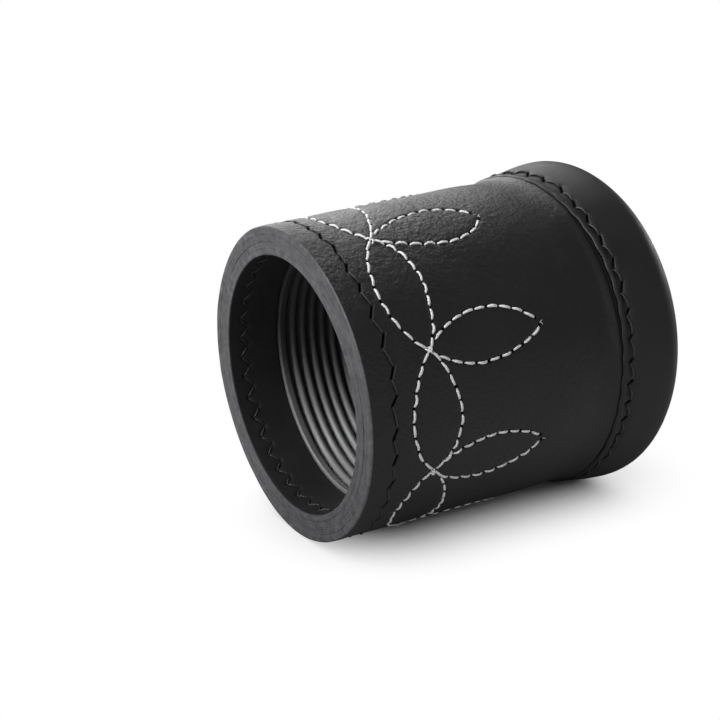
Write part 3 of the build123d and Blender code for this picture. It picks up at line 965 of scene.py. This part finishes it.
def junction_knots():
    """Small backstitches bunched at each junction."""
    radius = 45.5                                 # of the wall near the junctions
    knots = []
    for deg, z in joints:
        for _ in range(4):
            angle = thread_rng.uniform(0, 2 * math.pi)
            length = thread_rng.uniform(1.3, 2.1)
            dx, dz = length / 2 * math.cos(angle), length / 2 * math.sin(angle)
            x, up = thread_rng.normal(0, 0.45, 2)
            start = (deg + math.degrees((x - dx) / radius), z + up - dz)
            end = (deg + math.degrees((x + dx) / radius), z + up + dz)
            path = stitch_path(start, end, r_out, rise=0.30 + thread_rng.uniform(0, 0.25),
                               dive=0.35, gap=0.0, bow=thread_rng.normal(0, 0.25))
            knots.append((path, 0.30))
    return knots


def tip_tails():
    """Loose thread tails at the petal tips."""
    radius = 46.0                                 # of the wall near the tips
    tails = []
    for deg, tip_z in tips:
        for _ in range(2):
            angle = thread_rng.uniform(-0.9, 0.9) + (-math.pi / 2)
            length = thread_rng.uniform(0.6, 1.0)
            u = np.linspace(0, 1, 9)
            bearing = angle + thread_rng.uniform(-1.0, 1.0) * u
            z = tip_z + 0.5 + length * u * np.sin(bearing)
            r = r_out(z) + 0.18 + 0.35 * np.sin(math.pi * u * 0.7)
            theta = np.radians(deg) + length * u * np.cos(bearing) / radius
            tails.append((np.stack([r * np.cos(theta), r * np.sin(theta), z], 1), 0.07))
    return tails


def build_white(stitches, name, cad_piece, extra):
    items = []
    for hole_a, hole_b in stitches:
        start, end = jittered(hole_a, hole_b, 0.10)
        # stitches on the side that the cup lies on are pressed in
        pressed = 1.0 if -150 < ((hole_a[0] + 180) % 360 - 180) < -68 else 0.0
        rise = (0.05 + abs(thread_rng.normal(0, 0.05))) * (1 - pressed) - 0.10 * pressed
        path = stitch_path(start, end, r_out, rise=rise, dive=0.60, gap=0.10 + 0.09 * pressed,
                           bow=thread_rng.normal(0, 0.13))
        items.append((path, (0.42 - 0.06 * pressed) * (1 + thread_rng.normal(0, 0.05))))
    ob = thread(name, items + extra, white_thread, sides=10, flat=0.75, blunt=0.12)
    hand_over(ob, cad_piece)


def build_black(stitches, name, cad_piece, radius_at, rise, dive, radius, gap=0.02, bow=0.0,
                inside=False):
    items = []
    for hole_a, hole_b in stitches:
        start, end = jittered(hole_a, hole_b, 0.07)
        path = stitch_path(start, end, radius_at, rise=rise + abs(thread_rng.normal(0, 0.04)),
                           dive=dive, gap=gap, bow=bow + thread_rng.normal(0, 0.12),
                           points=17, inside=inside)
        items.append((path, radius))
    ob = thread(name, items, black_thread, sides=12, flat=1.0, blunt=0.28)
    hand_over(ob, cad_piece)


knots = junction_knots()
tails = tip_tails()
build_white(leaf_stitches, "stitch_chain", "leaf_chain_thread", knots)
build_white(petal_stitches, "stitch_petals", "petal_thread", tails)
build_black(rim_stitches, "rim_stitch_out", "mouth_seam_outer_thread", r_out,
            rise=0.03, dive=0.7, radius=0.27, gap=-0.01)
build_black(collar_stitches, "rim_stitch_in", "mouth_seam_inner_thread", r_in,
            rise=-0.02, dive=0.6, radius=0.30, inside=True)
build_black(cap_stitches, "cap_stitch_out", "cap_seam_outer_thread",
            lambda z: np.interp(z, side_z, side_r), rise=0.14, dive=0.7, radius=0.34, bow=0.32)
recolour("cap_seam_inner_thread", black_thread)


# ------------------------------------------------------------------ camera (metres from here on)
def placed(x, y, z, location):
    """Matrix from three axes and a location."""
    return Matrix([[x[i], y[i], z[i], location[i]] for i in range(3)] + [[0, 0, 0, 1]])


right = np.array([0.48873, -0.17683, -0.85433])
up = np.array([0.0, 0.97924, -0.20268])
right /= np.linalg.norm(right)
up -= right * up.dot(right)
up /= np.linalg.norm(up)
back = np.cross(right, up)

camera_data = bpy.data.cameras.new("camera")
camera = add_object("camera", camera_data)
camera_data.sensor_width = 36.0
camera_data.lens = 67.11
camera_data.clip_start, camera_data.clip_end = 0.01, 60.0
camera.matrix_world = placed(right, up, back, (0.33739, 0.04077, 0.26566))
bpy.context.scene.camera = camera

# ------------------------------------------------------------------ studio
# The floor and lights differ between the main view and the upright, turned views. A rolled
# camera marks the main view: world +Z has a sideways part in it, and has none in the others.
FLOOR_NORMAL = np.array([0.2606, 0.9641, -0.0505])
FLOOR_NORMAL /= np.linalg.norm(FLOOR_NORMAL)
FLOOR_OFFSET = -0.05026                           # along the normal, from the origin
FLOOR_HALF_SIZE = 9.0


def main_view(tree):
    """Socket that is 1 in the main view and 0 in the turned views."""
    world_up = add_node(tree, "ShaderNodeVectorTransform", {0: (0, 0, 1)},
                        vector_type="VECTOR", convert_from="WORLD", convert_to="CAMERA")
    sideways = add_node(tree, "ShaderNodeSeparateXYZ", {0: world_up})
    return calc(tree, "GREATER_THAN", calc(tree, "ABSOLUTE", sideways), 0.2)


def basis(normal):
    """Two axes square to a normal."""
    x = np.cross([0, 0, 1.0] if abs(normal[2]) < 0.9 else [1.0, 0, 0], normal)
    x /= np.linalg.norm(x)
    return x, np.cross(normal, x)


def mix(tree, factor, first, second):
    return add_node(tree, "ShaderNodeMixShader", {0: factor, 1: first, 2: second})


def floor_material(name, line, span, bounce, in_main):
    """Matt floor near the line where the cup touches it, fading to glowing white over span.

    bounce: strength of the light that the far floor sends to the cup."""
    material = bpy.data.materials.new(name)
    material.use_nodes = True
    tree = material.node_tree
    tree.nodes.clear()
    matt = add_node(tree, "ShaderNodeBsdfDiffuse", {"Color": (0.90, 0.90, 0.90, 1)})
    white = add_node(tree, "ShaderNodeEmission")
    # distance from the contact line
    start, end = np.asarray(line, float)
    half = np.linalg.norm(end - start) / 2
    axis = (end - start) / (2 * half) if half > 1e-6 else np.array([1.0, 0, 0])
    position = add_node(tree, "ShaderNodeNewGeometry", output="Position")
    offset = vector_calc(tree, "SUBTRACT", {0: position, 1: tuple((start + end) / 2)})
    along = vector_calc(tree, "DOT_PRODUCT", {0: offset, 1: tuple(axis)}, output="Value")
    clamped = add_node(tree, "ShaderNodeClamp", {"Value": along, "Min": -half, "Max": half})
    foot = vector_calc(tree, "SCALE", {0: tuple(axis), "Scale": clamped})
    distance = vector_calc(tree, "DISTANCE", {0: offset, 1: foot}, output="Value")
    fade = map_range(tree, distance, span, (0.0, 1.0), interpolation_type="SMOOTHSTEP")
    seen = mix(tree, fade, matt, white)
    # light that leaves the floor for the cup is dimmer than the floor looks; the dim zone
    # can be shifted off the contact line, here by nothing
    dim_foot = vector_calc(tree, "ADD", {0: foot, 1: (0.0, 0.0, 0.0)})
    distance = vector_calc(tree, "DISTANCE", {0: offset, 1: dim_foot}, output="Value")
    strength = map_range(tree, distance, (0.014, 0.075), (0.04 * bounce, bounce),
                         interpolation_type="SMOOTHSTEP")
    sent = add_node(tree, "ShaderNodeEmission", {"Strength": strength})
    camera_ray = add_node(tree, "ShaderNodeLightPath", output="Is Camera Ray")
    surface = mix(tree, camera_ray, sent, seen)
    clear = add_node(tree, "ShaderNodeBsdfTransparent")
    choices = (clear, surface) if in_main else (surface, clear)
    shown = mix(tree, main_view(tree), *choices)
    add_output(tree, "ShaderNodeOutputMaterial", shown)
    return material


def add_output(tree, kind, surface):
    feed(tree.nodes.new(kind), {"Surface": surface})


def build_floor(name, normal, offset, line, span, bounce, in_main):
    material = floor_material(name, line, span, bounce, in_main)
    x, y = basis(normal)
    centre = (np.asarray(line[0]) + np.asarray(line[1])) / 2
    centre = centre - normal * (centre.dot(normal) - offset)
    corners = [(centre + FLOOR_HALF_SIZE * (i * x + j * y)).tolist()
               for i, j in ((-1, -1), (1, -1), (1, 1), (-1, 1))]
    mesh = bpy.data.meshes.new(name)
    mesh.from_pydata(corners, [], [(0, 1, 2, 3)])
    mesh.materials.append(material)
    add_object(name, mesh)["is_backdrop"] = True


build_floor("floor_main", FLOOR_NORMAL, FLOOR_OFFSET - 0.00008,
            line=((-0.0130, -0.0482, 0.0073), (-0.0121, -0.0450, 0.073)),
            span=(0.010, 0.050), bounce=0.46, in_main=True)
build_floor("floor_upright", np.array([0, 0, 1.0]), -0.00002, line=((0, 0, 0), (0, 0, 0)),
            span=(0.045, 0.13), bounce=0.42, in_main=False)


def group(name, obs):
    collection = bpy.data.collections.new(name)
    for ob in obs:
        collection.objects.link(ob)
    return collection


lit_cup = group("lit_cup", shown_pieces())
lit_floor = group("lit_floor", [o for o in bpy.data.objects if o.name.startswith("floor_")])
lit_inside = group("lit_inside", [liner, pad])


def softbox(name, location, aim, size, watts, receivers, in_main):
    """Area light for the main view or the turned views, that lights only its receivers."""
    light = bpy.data.lights.new(name, "AREA")
    light.shape = "RECTANGLE"
    light.size, light.size_y = size
    light.energy = watts
    light.use_nodes = True
    tree = light.node_tree
    strength = main_view(tree)
    if not in_main:
        strength = calc(tree, "SUBTRACT", 1.0, strength)
    feed(tree.nodes["Emission"], {"Strength": strength})
    ob = add_object(name, light)
    ob.visible_camera = False
    ob.light_linking.receiver_collection = receivers
    z = np.asarray(location, float) - np.asarray(aim, float)
    z /= np.linalg.norm(z)
    ob.matrix_world = placed(*basis(z), z, location)


away = -back - FLOOR_NORMAL * (-back).dot(FLOOR_NORMAL)
away /= np.linalg.norm(away)
rightward = np.cross(away, FLOOR_NORMAL)
cup_middle = np.array([-0.006, 0.0, 0.052])


def over_floor(across, above, beyond):
    """Place from the cup's middle: right, off the main floor, and away from the camera."""
    return cup_middle + rightward * across + FLOOR_NORMAL * above + away * beyond


softbox("key_main", over_floor(-0.25, 0.70, 0.95), cup_middle, size=(1.3, 0.7), watts=9.5,
        receivers=lit_cup, in_main=True)
softbox("side_main", over_floor(-1.0, 0.65, -0.50), cup_middle, size=(1.0, 1.0), watts=19.0,
        receivers=lit_cup, in_main=True)
softbox("back_main", over_floor(0.95, 0.25, 0.75), cup_middle, size=(0.3, 0.7), watts=2.5,
        receivers=lit_cup, in_main=True)
softbox("front_main", over_floor(0.45, 0.10, -1.0), cup_middle, size=(0.8, 0.6), watts=0.9,
        receivers=lit_cup, in_main=True)
softbox("mouth_main", over_floor(-0.9, 0.75, -0.5), cup_middle, size=(0.5, 0.5), watts=38.0,
        receivers=lit_inside, in_main=True)
softbox("floor_light_main", over_floor(-0.1, 0.9, -0.3), over_floor(-0.1, 0, -0.3),
        size=(3.2, 3.2), watts=46.0, receivers=lit_floor, in_main=True)
softbox("key_up", (-0.35, -0.35, 1.0), (0, 0, 0.05), size=(1.2, 1.0), watts=17.0,
        receivers=lit_cup, in_main=False)
softbox("rim_up", (0.8, 0.7, 0.55), (0, 0, 0.05), size=(0.8, 0.8), watts=7.0,
        receivers=lit_cup, in_main=False)
softbox("floor_light_up", (0, 0, 0.9), (0, 0, 0), size=(3.2, 3.2), watts=46.0,
        receivers=lit_floor, in_main=False)


def build_world():
    """White to the camera, dim to the scene."""
    world = bpy.data.worlds.new("studio")
    bpy.context.scene.world = world
    world.use_nodes = True
    tree = world.node_tree
    tree.nodes.clear()
    seen, lit = (
        add_node(tree, "ShaderNodeBackground", {"Color": (1, 1, 1, 1), "Strength": strength})
        for strength in (1.0, 0.24))
    camera_ray = add_node(tree, "ShaderNodeLightPath", output="Is Camera Ray")
    add_output(tree, "ShaderNodeOutputWorld", mix(tree, camera_ray, lit, seen))


build_world()

view = bpy.context.scene.view_settings
view.view_transform = "Standard"
view.look = "None"
view.exposure = 0.0
